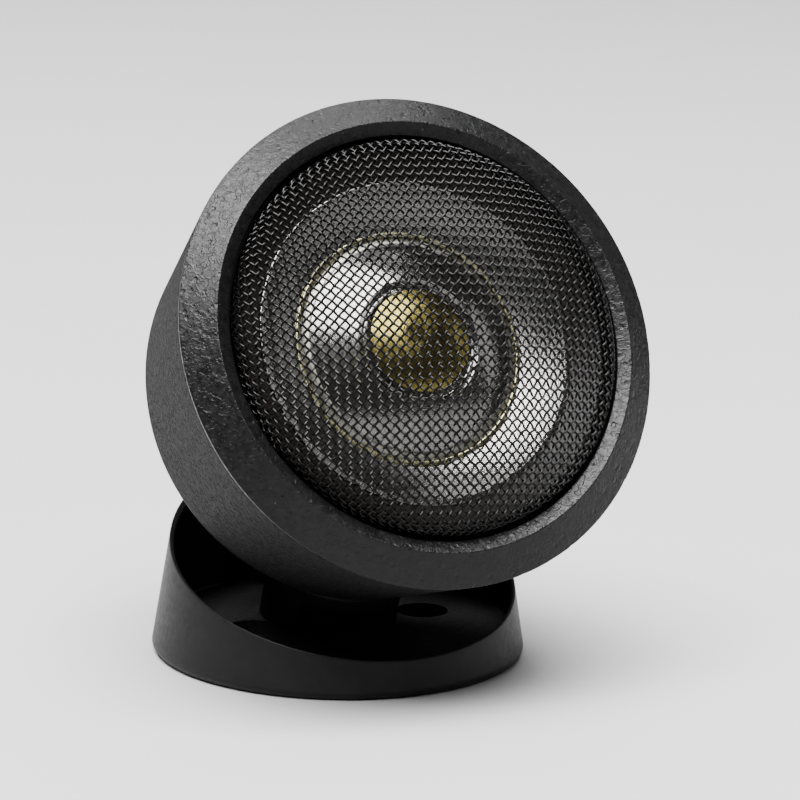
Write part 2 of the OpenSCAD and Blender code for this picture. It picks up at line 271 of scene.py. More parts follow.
class Shader:
    """A small helper round one node material."""

    def __init__(self, name, colour, roughness, metallic=0.0):
        self.material = bpy.data.materials.new(name)
        self.material.use_nodes = True
        self.nodes = self.material.node_tree.nodes
        self.links = self.material.node_tree.links
        self.body = self.nodes["Principled BSDF"]
        self.body.inputs["Base Color"].default_value = (*colour, 1)
        self.body.inputs["Roughness"].default_value = roughness
        self.body.inputs["Metallic"].default_value = metallic
        self.coords = self.nodes.new("ShaderNodeTexCoord").outputs["Object"]
        self.normal = None

    def noise(self, per_mm, detail=3.0, roughness=0.5, coords=None):
        """Cloudy noise from 0 to 1."""
        node = self.nodes.new("ShaderNodeTexNoise")
        node.inputs["Scale"].default_value = per_mm / MM
        node.inputs["Detail"].default_value = detail
        node.inputs["Roughness"].default_value = roughness
        self.links.new(coords or self.coords, node.inputs["Vector"])
        return node.outputs["Fac"]

    def cells(self, per_mm, coords=None):
        """Distance to the nearest of many scattered points."""
        node = self.nodes.new("ShaderNodeTexVoronoi")
        node.inputs["Scale"].default_value = per_mm / MM
        self.links.new(coords or self.coords, node.inputs["Vector"])
        return node.outputs["Distance"]

    def ramp(self, value, stops):
        """Colour ramp: stops are (position, grey or colour)."""
        node = self.nodes.new("ShaderNodeValToRGB")
        elements = node.color_ramp.elements
        while len(elements) < len(stops):
            elements.new(0.5)
        for element, (position, colour) in zip(elements, stops):
            element.position = position
            shade = colour if isinstance(colour, tuple) else (colour, colour, colour)
            element.color = (*shade, 1)
        self.links.new(value, node.inputs["Fac"])
        return node.outputs["Color"]

    def stirred(self, per_mm, amount_mm):
        """Object coordinates pushed about by a slow noise, so that patterns look natural."""
        push = self.nodes.new("ShaderNodeTexNoise")
        push.inputs["Scale"].default_value = per_mm / MM
        self.links.new(self.coords, push.inputs["Vector"])
        add = self.nodes.new("ShaderNodeVectorMath")
        add.operation = "MULTIPLY_ADD"
        add.inputs[1].default_value = (amount_mm * MM,) * 3
        self.links.new(push.outputs["Color"], add.inputs[0])
        self.links.new(self.coords, add.inputs[2])
        return add.outputs["Vector"]

    def ridges(self, per_mm, coords=None):
        """Distance of a noise from its middle value: zero along winding lines."""
        away = self.maths("SUBTRACT", self.noise(per_mm, 2, 0.5, coords=coords), 0.5)
        return self.maths("MULTIPLY", self.maths("ABSOLUTE", away), 4)

    def scaled(self, colour, factor):
        """A colour times a grey factor."""
        node = self.nodes.new("ShaderNodeVectorMath")
        node.operation = "MULTIPLY"
        node.inputs[0].default_value = colour
        self.links.new(factor, node.inputs[1])
        return node.outputs["Vector"]

    def maths(self, operation, a, b=None):
        """One maths node on numbers or sockets."""
        node = self.nodes.new("ShaderNodeMath")
        node.operation = operation
        for socket, value in zip(node.inputs, (a, b)):
            if value is None:
                continue
            if isinstance(value, (int, float)):
                socket.default_value = value
            else:
                self.links.new(value, socket)
        return node.outputs["Value"]

    def colour(self, value):
        self.links.new(value, self.body.inputs["Base Color"])

    def roughness(self, value):
        self.links.new(value, self.body.inputs["Roughness"])

    def bump(self, height, distance_mm, strength=1.0):
        """Adds a bump on top of the bumps that are already there."""
        node = self.nodes.new("ShaderNodeBump")
        node.inputs["Strength"].default_value = strength
        node.inputs["Distance"].default_value = distance_mm * MM
        self.links.new(height, node.inputs["Height"])
        if self.normal is not None:
            self.links.new(self.normal, node.inputs["Normal"])
        self.normal = node.outputs["Normal"]
        self.links.new(self.normal, self.body.inputs["Normal"])

    def radius(self):
        """Distance from the local Z axis, in mm."""
        flat = self.nodes.new("ShaderNodeVectorMath")
        flat.operation = "MULTIPLY"
        flat.inputs[1].default_value = (1 / MM, 1 / MM, 0)
        self.links.new(self.coords, flat.inputs[0])
        length = self.nodes.new("ShaderNodeVectorMath")
        length.operation = "LENGTH"
        self.links.new(flat.outputs["Vector"], length.inputs[0])
        return length.outputs["Value"]


def wrinkle_paint():
    """Charcoal paint with a crackled grain, raised flats and small pits."""
    s = Shader("wrinkle_paint", PAINT_COLOUR, 0.36)
    s.body.inputs["Specular IOR Level"].default_value = 0.15
    swirl = s.stirred(0.9, 0.5)
    crackle = s.ramp(s.ridges(0.9, swirl), [(0.0, 1.0), (0.06, 0.7), (0.18, 0.0)])
    fine_crackle = s.ramp(s.ridges(1.9, swirl), [(0.0, 1.0), (0.08, 0.5), (0.2, 0.0)])
    pits = s.ramp(s.cells(0.85, coords=swirl), [(0.0, 0.0), (0.15, 0.1), (0.27, 1.0)])
    tint = s.ramp(s.noise(0.8, 4, 0.65), [(0.3, 0.55), (0.7, 1.35)])
    s.colour(s.scaled(PAINT_COLOUR, tint))
    veins = s.ramp(s.noise(1.5, 5, 0.7, coords=swirl), [(0.38, 0.44), (0.5, 0.34), (0.58, 0.26)])
    s.roughness(veins)
    s.bump(crackle, 0.022, 0.8)
    s.bump(fine_crackle, 0.012, 0.7)
    s.bump(pits, 0.05, 0.8)
    s.bump(s.noise(3.5, 3, 0.6), 0.02, 0.5)
    return s.material


def fine_paint():
    """Charcoal paint with a fine streaky grain."""
    s = Shader("fine_paint", PAINT_COLOUR, 0.55)
    s.body.inputs["Specular IOR Level"].default_value = 0.08
    swirl = s.stirred(1.2, 0.4)
    grain = s.ramp(s.ridges(1.9, swirl), [(0.0, 0.0), (0.1, 0.7), (0.25, 1.0)])
    s.colour(s.scaled(PAINT_COLOUR, s.ramp(s.noise(1.1, 4, 0.65), [(0.3, 0.6), (0.7, 1.3)])))
    s.roughness(s.ramp(s.noise(2.2, 3, 0.5), [(0.3, 0.62), (0.7, 0.5)]))
    s.bump(grain, 0.09, 1.0)
    s.bump(s.ramp(s.noise(1.7, 4, 0.65, coords=swirl), [(0.38, 0.0), (0.47, 1.0)]), 0.3, 1.0)
    return s.material


def moulded_plastic(name, colour, roughness, grain_mm=0.02, per_mm=5.0, specular=0.3):
    """Moulded plastic or rubber with a fine spark-eroded grain."""
    s = Shader(name, colour, roughness)
    s.body.inputs["Specular IOR Level"].default_value = specular
    dark = tuple(c * 0.8 for c in colour)
    light = tuple(c * 1.2 for c in colour)
    s.colour(s.ramp(s.noise(0.4, 4, 0.6), [(0.3, dark), (0.7, light)]))
    s.roughness(s.ramp(s.noise(1.5, 3, 0.6), [(0.3, roughness + 0.06), (0.7, roughness - 0.06)]))
    s.bump(s.noise(per_mm, 3, 0.6), grain_mm, 0.6)
    return s.material


def turned_metal(name, colour, roughness, line_per_mm=6.0, line_mm=0.004, anisotropic=0.5):
    """Metal with fine lines round the local Z axis."""
    s = Shader(name, colour, roughness, 1.0)
    s.body.inputs["Anisotropic"].default_value = anisotropic
    tangent = s.nodes.new("ShaderNodeTangent")
    tangent.direction_type = "RADIAL"
    tangent.axis = "Z"
    s.links.new(tangent.outputs["Tangent"], s.body.inputs["Tangent"])
    wave = s.maths("SINE", s.maths("MULTIPLY", s.radius(), line_per_mm * 2 * math.pi))
    s.bump(wave, line_mm, 0.5)
    dull = tuple(c * 0.86 for c in colour)
    s.colour(s.ramp(s.noise(0.5, 5, 0.65), [(0.35, dull), (0.65, colour)]))
    s.roughness(s.ramp(s.noise(1.2, 4, 0.6), [(0.3, roughness * 1.25), (0.7, roughness * 0.85)]))
    return s.material


def plain_metal(name, colour, roughness, scratch=0.004):
    """Plated or black metal with faint tool marks."""
    s = Shader(name, colour, roughness, 1.0)
    dull = tuple(c * 0.8 for c in colour)
    s.colour(s.ramp(s.noise(0.8, 5, 0.65), [(0.35, dull), (0.65, colour)]))
    s.roughness(s.ramp(s.noise(1.5, 4, 0.6), [(0.3, roughness * 1.3), (0.7, roughness * 0.8)]))
    s.bump(s.noise(4, 4, 0.7), scratch, 0.6)
    return s.material


def wire_metal():
    """Black wire with a satin finish, worn brighter in random patches."""
    s = Shader("mesh_wire", (0.0006, 0.0005, 0.0004), 0.16)
    s.body.inputs["Specular IOR Level"].default_value = 0.17
    dark = (0.0004, 0.0003, 0.0003)
    worn = (0.001, 0.0008, 0.0007)
    s.colour(s.ramp(s.noise(1.3, 4, 0.6), [(0.3, dark), (0.7, worn)]))
    s.roughness(s.ramp(s.noise(3, 3, 0.6), [(0.3, 0.2), (0.7, 0.13)]))
    s.bump(s.noise(9, 2, 0.5), 0.004, 0.5)
    return s.material


def felt_cloth():
    """Grey felt with short fibres."""
    s = Shader("felt", (0.12, 0.12, 0.12), 0.95)
    s.body.inputs["Sheen Weight"].default_value = 0.3
    s.colour(s.ramp(s.noise(5, 6, 0.75), [(0.3, 0.07), (0.7, 0.17)]))
    s.bump(s.noise(9, 6, 0.8), 0.08, 0.9)
    return s.material


PAINT_COLOUR = (0.0026, 0.0026, 0.0027)
WRINKLE = wrinkle_paint()
PAINT = fine_paint()
BASE_PLASTIC = moulded_plastic("base_plastic", (0.006, 0.006, 0.0063), 0.46, 0.03, 4.0, 0.14)
TRIM_PLASTIC = moulded_plastic("trim_plastic", (0.001, 0.001, 0.001), 0.7, specular=0.05)
FRAME_PLASTIC = moulded_plastic("frame_plastic", (0.006, 0.004, 0.0035), 0.36)
RUBBER = moulded_plastic("rubber", (0.018, 0.018, 0.018), 0.7, 0.03, 3.0)
SADDLE_PLASTIC = moulded_plastic("saddle_plastic", (0.5, 0.49, 0.44), 0.4)
BOARD = moulded_plastic("board", (0.05, 0.08, 0.03), 0.4)
FORMER = moulded_plastic("former_film", (0.45, 0.27, 0.08), 0.3)
WIRE = wire_metal()
SILVER = turned_metal("spun_aluminium", (0.27, 0.265, 0.255), 0.24)
SURROUND_FILM = turned_metal("surround_film", (0.26, 0.25, 0.22), 0.3, 6.0, 0.002)
DOME_SILVER = turned_metal("dome_aluminium", (0.24, 0.235, 0.225), 0.16, 5.0, 0.002)
DOME_GOLD = turned_metal("dome_gold", (0.2, 0.165, 0.045), 0.22, 4.0, 0.002, 0.7)
GOLD_RING = turned_metal("gold_ring", (0.36, 0.34, 0.2), 0.25)
ZINC = plain_metal("zinc_steel", (0.55, 0.56, 0.56), 0.32)
SPRING_STEEL = plain_metal("spring_steel", (0.35, 0.35, 0.36), 0.35)
BLACK_SCREW = plain_metal("black_screw", (0.05, 0.05, 0.05), 0.4)
MOTOR_STEEL = turned_metal("motor_steel", (0.5, 0.5, 0.5), 0.3, 3.0)
NICKEL = plain_metal("magnet_nickel", (0.62, 0.6, 0.58), 0.18)
COPPER = turned_metal("coil_copper", (0.75, 0.33, 0.16), 0.3, 8.0)
TAB_BRASS = plain_metal("tab_brass", (0.75, 0.58, 0.25), 0.28)
FELT = felt_cloth()

# ---------------------------------------------------------------- head, outside
bore_r, ring_r, ring_low_u, face_in_u = reach("front_ring")
ball_r = far_from_pivot("housing_bowl")
mesh_low_u, mesh_top_u = reach("mesh_grille")[2:]
parting_u, seam_u = reach("housing_collar")[2:]
rim_u = seam_u + 0.55
face_in_r = 24.5
bore_u = 15.85
ring_spigot_r = 25.9
wall = 1.6
lap_u = parting_u + 1.4
shelf_in_r = 22.4
shelf_low_u = 9.0
shelf_top_u = 10.2
driver_screw_r = 23.9
driver_screw_angles = (90, 210, 330)
boss_r = 2.2
boss_low_u = 5
slot_half_w = 3.2
slot_half_deg = joints["head_tilt"]["range_deg"][1] + 8.3
lead_hole_r = 2
grain_offset = Vector((3.1, 7.7, 1.3))
grain_seed = 1  # without it noise_vector is seeded by the clock
noise.seed_set(grain_seed)


def coarse_grain(point, normal):
    """Broad waves, winding raised ridges and small pits, in mm."""
    p = Vector(point) + grain_offset
    swirl = noise.noise_vector(p * 0.55) * 0.7
    broad = noise.noise(p * 0.7 + swirl)
    ridge = max(0.0, 1 - abs(noise.noise(p * 0.95 + swirl)) * 7)
    pit = min(0.0, noise.noise(p * 1.5 + swirl * 2) + 0.3)
    return 0.012 * broad + 0.012 * ridge + 0.08 * pit


def make_front_ring():
    outline = rounded([
        (ring_r, rim_u, 0.12), (face_in_r, face_in_u, 0.16), (bore_r, bore_u, 0.1),
        (bore_r, ring_low_u, 0.05), (ring_spigot_r, ring_low_u, 0.05), (ring_spigot_r, seam_u + 0.02),
        (ring_r - 0.1, seam_u + 0.02, 0.06)], 4)
    obj = revolve("front_ring_grained", subdivided(outline, 0.2), turns=880 if FINE else 440)
    shifted(obj, lambda p, n: coarse_grain(p, n) if p.z > seam_u + 0.1 else 0)
    stand_for(obj, "head", "front_ring", WRINKLE)


def fine_grain(point, normal):
    p = Vector(point) + grain_offset
    return 0.007 * noise.noise(p * 1.5) + 0.004 * noise.noise(p * 3.2)


def make_collar():
    slope = (ring_r - collar_side_r(parting_u)) / (rim_u - parting_u)
    low_r = collar_side_r(parting_u)
    top_r = low_r + slope * (seam_u - parting_u)
    outline = rounded([
        (top_r, seam_u, 0.1), (top_r - wall, seam_u, 0.1),
        (collar_side_r(shelf_top_u) - wall, shelf_top_u), (shelf_in_r, shelf_top_u, 0.1),
        (shelf_in_r, shelf_low_u, 0.1), (collar_side_r(shelf_low_u) - wall, shelf_low_u),
        (low_r - 1.0, lap_u), (low_r - 0.8, lap_u), (low_r - 0.8, parting_u),
        (low_r, parting_u, 0.12)], 4)
    obj = revolve("housing_collar_shell", subdivided(outline, 0.45), turns=420)
    shifted(obj, fine_grain)
    for angle in driver_screw_angles:
        turn = Matrix.Rotation(math.radians(angle), 4, "Z")
        place = HEAD @ turn @ Matrix.Translation((driver_screw_r * MM, 0, 0))
        boss = revolve("screw_boss", rod(boss_r, boss_low_u, shelf_low_u + 0.3), place, 32)
        boolean(obj, boss, "UNION")
    finish_again(obj)
    stand_for(obj, "head", "housing_collar", PAINT)


def collar_side_r(u):
    """Outer radius of the housing at height u: a ball behind the parting line, a cone before it."""
    parting_r = math.sqrt(ball_r * ball_r - parting_u * parting_u)
    if u <= parting_u:
        return math.sqrt(max(ball_r * ball_r - u * u, 0))
    return parting_r + (ring_r - parting_r) * (u - parting_u) / (rim_u - parting_u)


def make_bowl():
    top_u = parting_u - 0.06
    start = math.degrees(math.asin(top_u / ball_r))
    in_r = ball_r - wall
    in_start = math.degrees(math.asin(top_u / in_r))
    outer = arc((0, 0), ball_r, start, -90, 60)
    inner = arc((0, 0), in_r, -90, in_start, 50)
    lip_r = math.sqrt(ball_r * ball_r - parting_u * parting_u) - 0.9
    lip_u = lap_u - 0.1
    outline = outer + inner + [(lip_r - 0.5, lip_u), (lip_r, lip_u), (lip_r, top_u)]
    obj = revolve("housing_bowl_shell", outline, turns=300)
    shifted(obj, fine_grain)
    cut_tilt_slot(obj)
    boolean(obj, revolve("lead_cut", rod(lead_hole_r, -40, -10), turns=48))
    finish_again(obj)
    stand_for(obj, "head", "housing_bowl", PAINT)


def cut_tilt_slot(obj):
    """Cuts the slot that lets the head tilt round the stud, with a wedge from the pivot."""
    far = 40
    half_y = far * math.tan(math.radians(slot_half_deg))
    triangle = ((0, 0), (-half_y, far), (half_y, far))
    points = [(x * MM, y * MM, z * MM) for x in (-slot_half_w, slot_half_w) for y, z in triangle]
    mesh = bpy.data.meshes.new("slot_cut")
    mesh.from_pydata(points, [], [(0, 1, 2), (3, 5, 4), (0, 3, 4, 1), (1, 4, 5, 2), (2, 5, 3, 0)])
    boolean(obj, finish_mesh("slot_cut", mesh, STUD))


def finish_again(obj):
    """Shades a boolean's result by angle."""
    bm = bmesh.new()
    bm.from_mesh(obj.data)
    shade_by_angle(bm)
    bm.to_mesh(obj.data)
    bm.free()


make_front_ring()
make_collar()
make_bowl()


def make_trim_ring():
    low_r, high_r, low_u = reach("grille_trim_ring")[:3]
    outline = rounded([
        (low_r, low_u), (high_r, low_u), (high_r, bore_u - 0.75, 0.05),
        (high_r - 0.1, bore_u - 0.7, 0.05), (low_r, bore_u - 0.8, 0.1)], 4)
    obj = revolve("trim_ring_band", outline, turns=256)
    stand_for(obj, "head", "grille_trim_ring", TRIM_PLASTIC)


make_trim_ring()

# ---------------------------------------------------------------- woven mesh
MESH_PITCH = 0.82
WIRE_R = 0.135
WEAVE_TURN = -48.5
STEPS_PER_PITCH = 4
WIRE_SIDES = 6
mesh_roll = 3.0
mesh_roll_u = 15.9
mesh_r = reach("grille_trim_ring")[0] - 0.05


class Dome:
    """Profile of the mesh: a ball-shaped cap, a rolled edge and a short upright wall."""

    def __init__(self, inset):
        edge_r = mesh_r - mesh_roll
        rise = mesh_top_u - mesh_roll_u
        self.cap_r = (rise ** 2 + edge_r ** 2 - mesh_roll ** 2) / (2 * (rise - mesh_roll))
        self.cap_u = mesh_top_u - self.cap_r
        self.meet = math.asin(edge_r / (self.cap_r - mesh_roll))
        self.edge_r = edge_r
        self.cap_in = self.cap_r - inset
        self.roll_in = mesh_roll - inset
        self.cap_len = self.cap_in * self.meet
        self.roll_len = self.roll_in * (math.pi / 2 - self.meet)

    def at(self, length):
        """Radius, height and lean of the surface at that length from the top, as arrays."""
        on_cap = np.clip(length / self.cap_in, 0, self.meet)
        on_roll = np.clip((length - self.cap_len) / self.roll_in, 0, math.pi / 2 - self.meet)
        lean = on_cap + on_roll
        below = np.clip(length - self.cap_len - self.roll_len, 0, None)
        rolled = length > self.cap_len
        r = np.where(rolled, self.edge_r + self.roll_in * np.sin(lean), self.cap_in * np.sin(lean))
        on_roll_u = mesh_roll_u + self.roll_in * np.cos(lean)
        u = np.where(rolled, on_roll_u, self.cap_u + self.cap_in * np.cos(lean))
        return r, u - below, lean


def wire_points(dome, along, across, lift):
    """Points in mm on the dome for cloth places (along, across), and the surface's normals."""
    length = np.hypot(along, across)
    r, u, lean = dome.at(length)
    safe = np.where(length > 1e-6, length, 1)
    cx = np.where(length > 1e-6, along / safe, 1)
    cy = np.where(length > 1e-6, across / safe, 0)
    normal = np.stack([cx * np.sin(lean), cy * np.sin(lean), np.cos(lean)], 1)
    place = np.stack([cx * r, cy * r, u], 1)
    return place + normal * lift[:, None], normal


def tube(points, normals, radius, sides):
    """Vertices and faces of a closed tube along points."""
    ahead = np.gradient(points, axis=0)
    ahead /= np.linalg.norm(ahead, axis=1)[:, None]
    side = np.cross(ahead, normals)
    side /= np.linalg.norm(side, axis=1)[:, None]
    top = np.cross(side, ahead)
    angles = np.arange(sides) * 2 * math.pi / sides
    ring = side[:, None] * np.cos(angles)[None, :, None] + top[:, None] * np.sin(angles)[None, :, None]
    verts = (points[:, None] + ring * radius).reshape(-1, 3)
    count = len(points)
    k = np.arange(count - 1)[:, None] * sides
    j = np.arange(sides)[None]
    nxt = (j + 1) % sides
    quads = np.stack([k + j, k + nxt, k + sides + nxt, k + sides + j], 2).reshape(-1, 4)
    return verts, quads, count


def make_woven_mesh():
    dome = Dome(WIRE_R * 2)
    reach_len = dome.cap_len + dome.roll_len + (mesh_roll_u - mesh_low_u) - 0.6
    turn = math.radians(WEAVE_TURN)
    lines = int(reach_len / MESH_PITCH)
    verts = []
    quads = []
    caps = []
    base = 0
    for family in (0, 1):
        direction = turn + (0 if family else math.pi / 2)
        sign = 1 if family else -1
        for i in range(-lines, lines + 1):
            offset = (i + 0.5) * MESH_PITCH
            if abs(offset) >= reach_len - 0.3:
                continue
            half = math.sqrt(reach_len ** 2 - offset ** 2)
            first = math.ceil((-half / MESH_PITCH - 0.5) * STEPS_PER_PITCH)
            last = math.floor((half / MESH_PITCH - 0.5) * STEPS_PER_PITCH)
            if last - first < 4:
                continue
            t = np.arange(first, last + 1) / STEPS_PER_PITCH
            along = (t + 0.5) * MESH_PITCH
            other = np.full_like(along, offset)
            lift = sign * WIRE_R * np.cos(math.pi * t) * (1 if i % 2 == 0 else -1)
            x = along * math.cos(direction) - other * math.sin(direction) * sign
            y = along * math.sin(direction) + other * math.cos(direction) * sign
            points, normals = wire_points(dome, x, y, lift)
            v, q, count = tube(points, normals, WIRE_R, WIRE_SIDES)
            verts.append(v)
            quads.append(q + base)
            caps.append(tuple(base + k for k in reversed(range(WIRE_SIDES))))
            caps.append(tuple(base + (count - 1) * WIRE_SIDES + k for k in range(WIRE_SIDES)))
            base += len(v)
    verts = np.concatenate(verts) * MM
    faces = [tuple(int(c) for c in q) for q in np.concatenate(quads)] + caps
    mesh = bpy.data.meshes.new("mesh_weave")
    mesh.from_pydata(verts.tolist(), [], faces)
    for polygon in mesh.polygons:
        polygon.use_smooth = True
    obj = bpy.data.objects.new("mesh_weave", mesh)
    obj.matrix_world = HEAD
    bpy.context.scene.collection.objects.link(obj)
    stand_for(obj, "head", "mesh_grille", WIRE)


make_woven_mesh()

# ---------------------------------------------------------------- driver
well_r = 18.55
well_u = 9.8
baffle_in_u = 13.2
baffle_out_r = 21.9
baffle_out_u = 15.0
frame_top_u = 12.2
frame_low_u = frame_top_u - 1.6
can_top_r = 22.1
can_low_r = 20.2
motor_top_u = reach("yoke")[3]
flare_in_r, flare_r, flare_low_u, flare_top_u = reach("waveguide_flare")
flare_in_u = 10.8
flare_curve_r = 17.9
flare_bend = math.radians(20)
dome_in_r, dome_out_r = reach("annular_dome")[:2]
dome_ball_r = 22.25
dome_ball_u = -7.51
groove_u = 13.1
centre_rise = 1.35
SKIN = 0.15


def make_driver_frame():
    low_r, high_r = reach("driver_frame")[:2]
    outline = rounded([
        (well_r, baffle_in_u, 0.15), (baffle_out_r, baffle_out_u, 0.4), (baffle_out_r, frame_top_u),
        (high_r, frame_top_u, 0.2), (high_r, frame_low_u, 0.1), (can_top_r, frame_low_u),
        (can_low_r, motor_top_u, 0.2), (low_r, motor_top_u), (low_r, well_u), (well_r, well_u)], 4)
    obj = revolve("driver_frame_ring", outline, turns=256)
    stand_for(obj, "head", "driver_frame", FRAME_PLASTIC)


def make_flare():
    run = flare_curve_r - flare_in_r
    rise = flare_top_u - flare_in_u
    curve = math.hypot(run, rise) / (2 * math.sin(flare_bend / 2))
    start = math.degrees(math.atan(rise / run) - flare_bend / 2)
    slope = math.radians(start)
    centre = (flare_in_r - curve * math.sin(slope), flare_in_u + curve * math.cos(slope))
    bowl = arc(centre, curve, start - 90, start - 90 + math.degrees(flare_bend), 28)
    edge = rounded([
        (flare_curve_r, flare_top_u), (flare_r, flare_top_u, 0.12), (flare_r, flare_low_u),
        (flare_in_r, flare_low_u)])
    obj = revolve("flare_spun", bowl[:-1] + edge, turns=320)
    stand_for(obj, "head", "waveguide_flare", SILVER)


def make_clamp_ring():
    low_r, high_r, low_u, high_u = reach("diaphragm_clamp_ring")
    outline = rounded([(low_r, low_u), (high_r, low_u), (high_r, high_u, 0.12), (low_r, high_u, 0.15)], 4)
    obj = revolve("clamp_ring_gold", outline, turns=256)
    stand_for(obj, "head", "diaphragm_clamp_ring", GOLD_RING)


def film(top):
    """Closed outline of a thin film under a line of (r, u) points."""
    return top + [(r, u - SKIN) for r, u in reversed(top)]


def make_surround():
    low_r, high_r, low_u, high_u = reach("outer_surround")
    drop = high_u - low_u - SKIN
    steps = np.linspace(0, 1, 15)
    top = [(low_r + (high_r - low_r) * t, high_u - drop * t ** 1.9) for t in steps]
    obj = revolve("surround_roll", film(top), turns=256)
    stand_for(obj, "head", "outer_surround", SURROUND_FILM)


def make_annular_dome():
    start = math.degrees(math.acos(dome_out_r / dome_ball_r))
    end = math.degrees(math.acos(dome_in_r / dome_ball_r))
    top = arc((0, dome_ball_u), dome_ball_r, start, end, 26)
    obj = revolve("annular_dome_skin", film(top), turns=320)
    stand_for(obj, "diaphragm", "annular_dome", DOME_SILVER)


def make_joint_ring():
    low_r, high_r, low_u, high_u = reach("dome_joint_ring")
    outline = rounded([
        (high_r, 13.55), (6.6, groove_u, 0.25), (6.25, groove_u, 0.2), (low_r, high_u),
        (low_r, high_u - 0.3), (6.16, groove_u - SKIN, 0.2), (6.66, groove_u - SKIN, 0.2),
        (high_r, 13.37)], 5)
    obj = revolve("dome_joint_groove", outline, turns=256)
    stand_for(obj, "diaphragm", "dome_joint_ring", DOME_SILVER)


def make_centre_dome():
    edge_r, top_u = reach("centre_dome")[1::2]
    curve = (edge_r ** 2 + centre_rise ** 2) / (2 * centre_rise)
    spread = math.degrees(math.asin(edge_r / curve))
    top = arc((0, top_u - curve), curve, 90 - spread, 90, 30)
    obj = revolve("centre_dome_cap", film(top), turns=256)
    stand_for(obj, "diaphragm", "centre_dome", DOME_GOLD)


make_driver_frame()
make_flare()
make_clamp_ring()
make_surround()
make_annular_dome()
make_joint_ring()
make_centre_dome()

# ---------------------------------------------------------------- base
base_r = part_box("base_shell")[1].x / MM
base_draft = math.tan(math.radians(8.4))
cut_centre = pivot / MM + Vector((0, -0.7, -1.3))
cut_r = 31.0
base_wall = 1.3
RIM_LAND = 0.6
floor_top = 3.5
RIM_ROUND = 0.3
plate_seat_r = 19.75
plate_seat_u = 1.2
foot_round = 1.2
driver_way_r = 3.1
pedestal_r = 8
pad_ball_gap = 1.4
outlet_boss_r = 4.2
outlet_bore_r = 2.5
mounts = {m["name"]: m for m in frame["record"]["mounts"]}
panel_hole_x = mounts["panel_screws"]["dims"]["spacing_x_mm"] / 2


def cut_height(radius, angle):
    """Height of the wedge cut at a distance and angle from the base's axis."""
    x = radius * math.cos(angle)
    y = radius * math.sin(angle)
    flat = cut_r ** 2 - (x - cut_centre.x) ** 2 - (y - cut_centre.y) ** 2
    return cut_centre.z - math.sqrt(max(flat, 0))


def wall_meets_cut(inset, angle):
    """Radius and height where the wall, moved inwards by inset, meets the cut."""
    z = 10.0
    for _ in range(30):
        z = cut_height(base_r - inset - z * base_draft, angle)
    return base_r - inset - z * base_draft, z


def between(start, end, steps):
    """Points on a straight line after start, up to and including end."""
    places = [s / steps for s in range(1, steps + 1)]
    return [(start[0] + (end[0] - start[0]) * t, start[1] + (end[1] - start[1]) * t) for t in places]


def base_section(angle):
    """Section of the base shell: plate seat, foot, outer wall, rim, inner wall, floor."""
    outer = wall_meets_cut(0, angle)
    inner = wall_meets_cut(RIM_LAND, angle)
    section = [(plate_seat_r, plate_seat_u), (plate_seat_r, 0.25), (plate_seat_r + 0.1, 0.05)]
    section.append((plate_seat_r + 0.3, 0.0))
    for t in np.linspace(0, 1.42, 7):
        r = base_r - foot_round + (foot_round - 0.05) * math.sin(t)
        section.append((r, foot_round - foot_round * math.cos(t)))
    top = (outer[0] + RIM_ROUND * 0.1, outer[1] - RIM_ROUND)
    section += between(section[-1], top, 12)
    section += rim_points(top, outer, inner, RIM_ROUND)
    low_in_r = base_r - base_wall - floor_top * base_draft
    section += between(section[-1], (low_in_r, floor_top + 0.3), 8)
    section += [(low_in_r - 0.1, floor_top + 0.1), (low_in_r - 0.4, floor_top), (9, floor_top)]
    section += [(0, floor_top), (0, plate_seat_u), (10, plate_seat_u)]
    return section


def make_base_shell():
    obj = turned("base_shell_body", base_section, BASE, 320)
    add_pedestal(obj)
    add_outlet_boss(obj)
    for x in (-panel_hole_x, panel_hole_x):
        place = Matrix.Translation((x * MM, 0, 0))
        boolean(obj, revolve("driver_way", rod(driver_way_r, -1, floor_top + 0.2), place, 48))
    finish_again(obj)
    stand_for(obj, "base", "base_shell", BASE_PLASTIC)


def rim_points(below, corner, inner, size):
    """The rounded top edge of the wall, from outside to inside."""
    out = []
    across = Vector(inner) - Vector(corner)
    first = Vector(corner) + across.normalized() * size
    last = Vector(inner) - across.normalized() * size * 0.5
    for s in range(1, 5):
        t = s / 4
        out.append(tuple(Vector(below) * (1 - t) ** 2 + Vector(corner) * 2 * t * (1 - t) + first * t * t))
    drop = Vector((inner[0], inner[1] - size))
    for s in range(5):
        t = s / 4
        out.append(tuple(last * (1 - t) ** 2 + Vector(inner) * 2 * t * (1 - t) + drop * t * t))
    return out


def add_pedestal(obj):
    """The leaning column, cut to the pad's ball above and to the floor below."""
    top_u = reach("seat_pad", STUD)[3] - 2
    low_u = 38
    outline = [(pedestal_r, top_u), (pedestal_r, low_u), (0, low_u), (0, top_u)]
    column = revolve("pedestal", outline, STUD, 96)
    hollow = revolve("seat_ball", arc((0, 0), ball_r + pad_ball_gap, -90, 90, 64), HEAD, 128)
    boolean(column, hollow)
    boolean(column, box_object("below_floor", (-30, -30, -30), (30, 30, 2.2), BASE))
    boolean(obj, column, "UNION")


def add_outlet_boss(obj):
    low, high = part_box("lead_grommet")
    height = (low.z + high.z) / 2 / MM
    place = Matrix.Translation((0, 0, height * MM)) @ Matrix.Rotation(math.radians(-90), 4, "X")
    inner_y = 17.4
    outer_y = 21.3
    outline = rounded([
        (0, inner_y), (outlet_boss_r, inner_y), (outlet_boss_r, outer_y, 0.3), (0, outer_y)])
    boolean(obj, revolve("outlet_boss", outline, place, 64), "UNION")
    boolean(obj, revolve("outlet_cut", rod(outlet_bore_r, 10, 30), place, 48))


make_base_shell()


